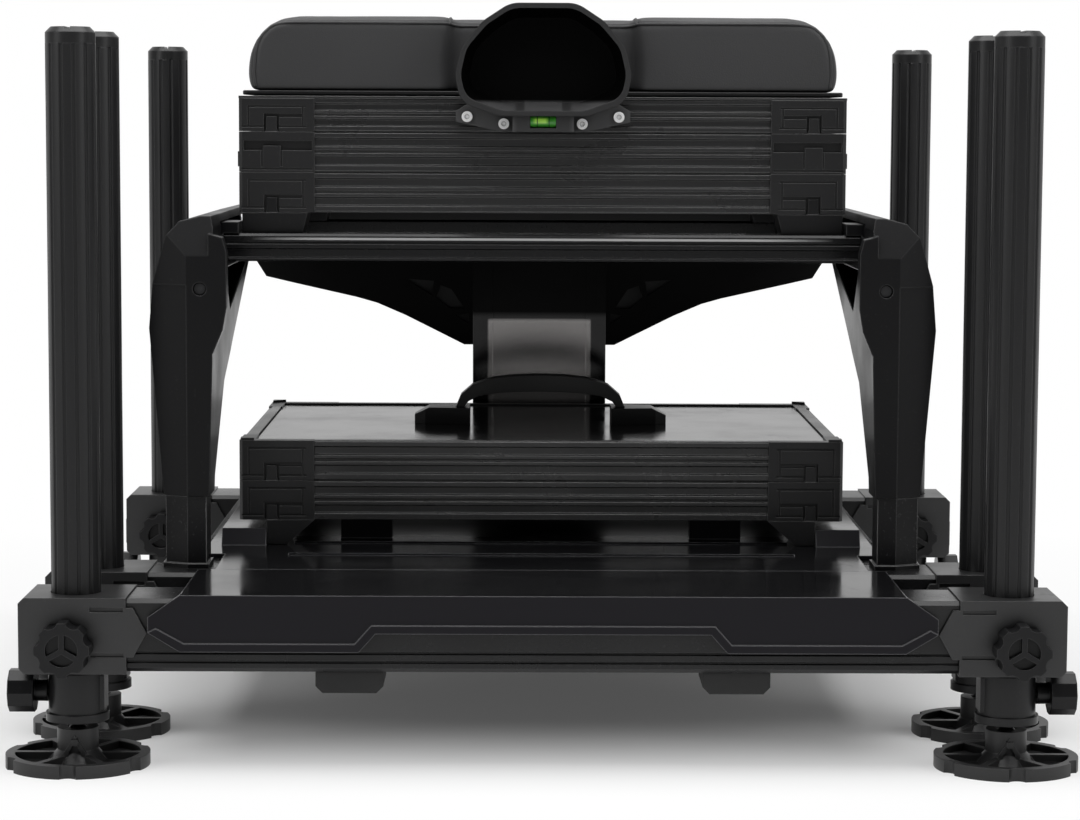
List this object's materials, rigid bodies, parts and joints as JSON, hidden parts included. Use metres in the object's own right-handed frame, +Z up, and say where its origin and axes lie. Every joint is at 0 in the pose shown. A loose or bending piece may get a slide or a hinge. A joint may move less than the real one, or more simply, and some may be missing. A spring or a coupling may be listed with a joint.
{
  "type": "fishing seat box",
  "caption": "Angler's seat on stacked tackle trays over a drawer case, with a sliding footplate and adjustable clamped legs on tilting feet.",
  "frame": {"origin": "on the ground, midway between the front and rear legs, on the centre plane", "axes": "+X to the right seen from the front, +Y to the back, +Z up"},
  "size_m": [0.785, 0.6904, 0.562],
  "materials": {
    "anodised_black": "satin black anodised",
    "cast_black": "satin powder coat",
    "moulded_black": "fine moulded grain",
    "gloss_deck": "gloss black",
    "lid_gloss": "gloss black sheet",
    "vinyl": "soft grained black vinyl",
    "bright_steel": "bright",
    "vial_green": "clear green",
    "rubber_black": "matte"
  },
  "bodies": {
    "frame": {"main_cross_rails": "anodised_black", "side_rails": "anodised_black", "main_leg_blocks": "moulded_black", "main_deck": "gloss_deck", "arm_left": "cast_black", "arm_right": "cast_black", "arm_posts": "anodised_black", "seat_beam_front": "anodised_black", "seat_beam_rear": "anodised_black", "seat_beam_sides": "anodised_black", "rear_column": "cast_black", "column_wings": "cast_black", "stack_feet": "moulded_black", "frame_bolts": "bright_steel"},
    "footplate": {"front_rail": "anodised_black", "front_leg_blocks": "moulded_black", "foot_deck": "gloss_deck", "slide_tubes": "anodised_black", "rest_pads": "rubber_black"},
    "lower_tray_level": {"lower_tray": "anodised_black", "lower_tray_corners": "moulded_black"},
    "upper_tray_level": {"upper_tray": "anodised_black", "upper_tray_corners": "moulded_black"},
    "seat_unit": {"seat_tray": "anodised_black", "seat_corners": "moulded_black", "seat_cushion": "vinyl", "pole_cup": "moulded_black", "level_vial": "vial_green", "cup_screws": "bright_steel"},
    "drawer_case": {"case_tray": "anodised_black", "case_corners": "moulded_black"},
    "case_lid": {"case_lid_frame": "anodised_black", "case_lid_corners": "moulded_black", "case_lid_panel": "lid_gloss", "handle_mounts": "moulded_black", "case_handle": "moulded_black"},
    "front_left_leg_body": {"front_left_leg": "anodised_black"},
    "front_left_foot_body": {"front_left_foot": "moulded_black"},
    "front_left_leg_knob_body": {"front_left_leg_knob": "moulded_black"},
    "front_left_foot_knob_body": {"front_left_foot_knob": "moulded_black"},
    "front_right_leg_body": {"front_right_leg": "anodised_black"},
    "front_right_foot_body": {"front_right_foot": "moulded_black"},
    "front_right_leg_knob_body": {"front_right_leg_knob": "moulded_black"},
    "front_right_foot_knob_body": {"front_right_foot_knob": "moulded_black"},
    "middle_left_leg_body": {"middle_left_leg": "anodised_black"},
    "middle_left_foot_body": {"middle_left_foot": "moulded_black"},
    "middle_left_leg_knob_body": {"middle_left_leg_knob": "moulded_black"},
    "middle_left_foot_knob_body": {"middle_left_foot_knob": "moulded_black"},
    "middle_right_leg_body": {"middle_right_leg": "anodised_black"},
    "middle_right_foot_body": {"middle_right_foot": "moulded_black"},
    "middle_right_leg_knob_body": {"middle_right_leg_knob": "moulded_black"},
    "middle_right_foot_knob_body": {"middle_right_foot_knob": "moulded_black"},
    "rear_left_leg_body": {"rear_left_leg": "anodised_black"},
    "rear_left_foot_body": {"rear_left_foot": "moulded_black"},
    "rear_left_leg_knob_body": {"rear_left_leg_knob": "moulded_black"},
    "rear_left_foot_knob_body": {"rear_left_foot_knob": "moulded_black"},
    "rear_right_leg_body": {"rear_right_leg": "anodised_black"},
    "rear_right_foot_body": {"rear_right_foot": "moulded_black"},
    "rear_right_leg_knob_body": {"rear_right_leg_knob": "moulded_black"},
    "rear_right_foot_knob_body": {"rear_right_foot_knob": "moulded_black"}
  },
  "joints": [
    {"name": "footplate_slide", "type": "slide", "parent": "frame", "child": "footplate", "axis": [0, -1, 0], "range_m": [0, 0.25]},
    {"name": "lower_tray_hinge", "type": "hinge", "parent": "frame", "child": "lower_tray_level", "pos_m": [0, 0.2575, 0.397], "axis": [-1, 0, 0], "range_deg": [0, 25]},
    {"name": "upper_tray_hinge", "type": "hinge", "parent": "lower_tray_level", "child": "upper_tray_level", "pos_m": [0, 0.2575, 0.429], "axis": [-1, 0, 0], "range_deg": [0, 35]},
    {"name": "seat_hinge", "type": "hinge", "parent": "upper_tray_level", "child": "seat_unit", "pos_m": [0, 0.2575, 0.461], "axis": [-1, 0, 0], "range_deg": [0, 80]},
    {"name": "case_slide", "type": "slide", "parent": "frame", "child": "drawer_case", "axis": [0, -1, 0], "range_m": [0, 0.28]},
    {"name": "case_lid_hinge", "type": "hinge", "parent": "drawer_case", "child": "case_lid", "pos_m": [0, 0.2575, 0.1827], "axis": [-1, 0, 0], "range_deg": [0, 20]},
    {"name": "front_left_leg_slide", "type": "slide", "parent": "footplate", "child": "front_left_leg_body", "axis": [0, 0, -1], "range_m": [0, 0.35]},
    {"name": "front_left_foot_tilt", "type": "hinge", "parent": "front_left_leg_body", "child": "front_left_foot_body", "pos_m": [-0.34, -0.293, 0.022], "axis": [1, 0, 0], "range_deg": [-12, 12]},
    {"name": "front_left_leg_knob_turn", "type": "hinge", "parent": "footplate", "child": "front_left_leg_knob_body", "pos_m": [-0.3435, -0.325, 0.093], "axis": [0, -1, 0], "range_deg": [0, 360]},
    {"name": "front_left_foot_knob_turn", "type": "hinge", "parent": "front_left_leg_body", "child": "front_left_foot_knob_body", "pos_m": [-0.34, -0.293, 0.055], "axis": [-1, 0, 0], "range_deg": [0, 360]},
    {"name": "front_right_leg_slide", "type": "slide", "parent": "footplate", "child": "front_right_leg_body", "axis": [0, 0, -1], "range_m": [0, 0.35]},
    {"name": "front_right_foot_tilt", "type": "hinge", "parent": "front_right_leg_body", "child": "front_right_foot_body", "pos_m": [0.34, -0.293, 0.022], "axis": [1, 0, 0], "range_deg": [-12, 12]},
    {"name": "front_right_leg_knob_turn", "type": "hinge", "parent": "footplate", "child": "front_right_leg_knob_body", "pos_m": [0.3435, -0.325, 0.093], "axis": [0, -1, 0], "range_deg": [0, 360]},
    {"name": "front_right_foot_knob_turn", "type": "hinge", "parent": "front_right_leg_body", "child": "front_right_foot_knob_body", "pos_m": [0.34, -0.293, 0.055], "axis": [1, 0, 0], "range_deg": [0, 360]},
    {"name": "middle_left_leg_slide", "type": "slide", "parent": "frame", "child": "middle_left_leg_body", "axis": [0, 0, -1], "range_m": [0, 0.35]},
    {"name": "middle_left_foot_tilt", "type": "hinge", "parent": "middle_left_leg_body", "child": "middle_left_foot_body", "pos_m": [-0.34, -0.17, 0.022], "axis": [1, 0, 0], "range_deg": [-12, 12]},
    {"name": "middle_left_leg_knob_turn", "type": "hinge", "parent": "frame", "child": "middle_left_leg_knob_body", "pos_m": [-0.3435, -0.202, 0.093], "axis": [0, -1, 0], "range_deg": [0, 360]},
    {"name": "middle_left_foot_knob_turn", "type": "hinge", "parent": "middle_left_leg_body", "child": "middle_left_foot_knob_body", "pos_m": [-0.34, -0.17, 0.055], "axis": [-1, 0, 0], "range_deg": [0, 360]},
    {"name": "middle_right_leg_slide", "type": "slide", "parent": "frame", "child": "middle_right_leg_body", "axis": [0, 0, -1], "range_m": [0, 0.35]},
    {"name": "middle_right_foot_tilt", "type": "hinge", "parent": "middle_right_leg_body", "child": "middle_right_foot_body", "pos_m": [0.34, -0.17, 0.022], "axis": [1, 0, 0], "range_deg": [-12, 12]},
    {"name": "middle_right_leg_knob_turn", "type": "hinge", "parent": "frame", "child": "middle_right_leg_knob_body", "pos_m": [0.3435, -0.202, 0.093], "axis": [0, -1, 0], "range_deg": [0, 360]},
    {"name": "middle_right_foot_knob_turn", "type": "hinge", "parent": "middle_right_leg_body", "child": "middle_right_foot_knob_body", "pos_m": [0.34, -0.17, 0.055], "axis": [1, 0, 0], "range_deg": [0, 360]},
    {"name": "rear_left_leg_slide", "type": "slide", "parent": "frame", "child": "rear_left_leg_body", "axis": [0, 0, -1], "range_m": [0, 0.35]},
    {"name": "rear_left_foot_tilt", "type": "hinge", "parent": "rear_left_leg_body", "child": "rear_left_foot_body", "pos_m": [-0.34, 0.293, 0.022], "axis": [1, 0, 0], "range_deg": [-12, 12]},
    {"name": "rear_left_leg_knob_turn", "type": "hinge", "parent": "frame", "child": "rear_left_leg_knob_body", "pos_m": [-0.3435, 0.261, 0.093], "axis": [0, -1, 0], "range_deg": [0, 360]},
    {"name": "rear_left_foot_knob_turn", "type": "hinge", "parent": "rear_left_leg_body", "child": "rear_left_foot_knob_body", "pos_m": [-0.34, 0.293, 0.055], "axis": [-1, 0, 0], "range_deg": [0, 360]},
    {"name": "rear_right_leg_slide", "type": "slide", "parent": "frame", "child": "rear_right_leg_body", "axis": [0, 0, -1], "range_m": [0, 0.35]},
    {"name": "rear_right_foot_tilt", "type": "hinge", "parent": "rear_right_leg_body", "child": "rear_right_foot_body", "pos_m": [0.34, 0.293, 0.022], "axis": [1, 0, 0], "range_deg": [-12, 12]},
    {"name": "rear_right_leg_knob_turn", "type": "hinge", "parent": "frame", "child": "rear_right_leg_knob_body", "pos_m": [0.3435, 0.261, 0.093], "axis": [0, -1, 0], "range_deg": [0, 360]},
    {"name": "rear_right_foot_knob_turn", "type": "hinge", "parent": "rear_right_leg_body", "child": "rear_right_foot_knob_body", "pos_m": [0.34, 0.293, 0.055], "axis": [1, 0, 0], "range_deg": [0, 360]}
  ]
}
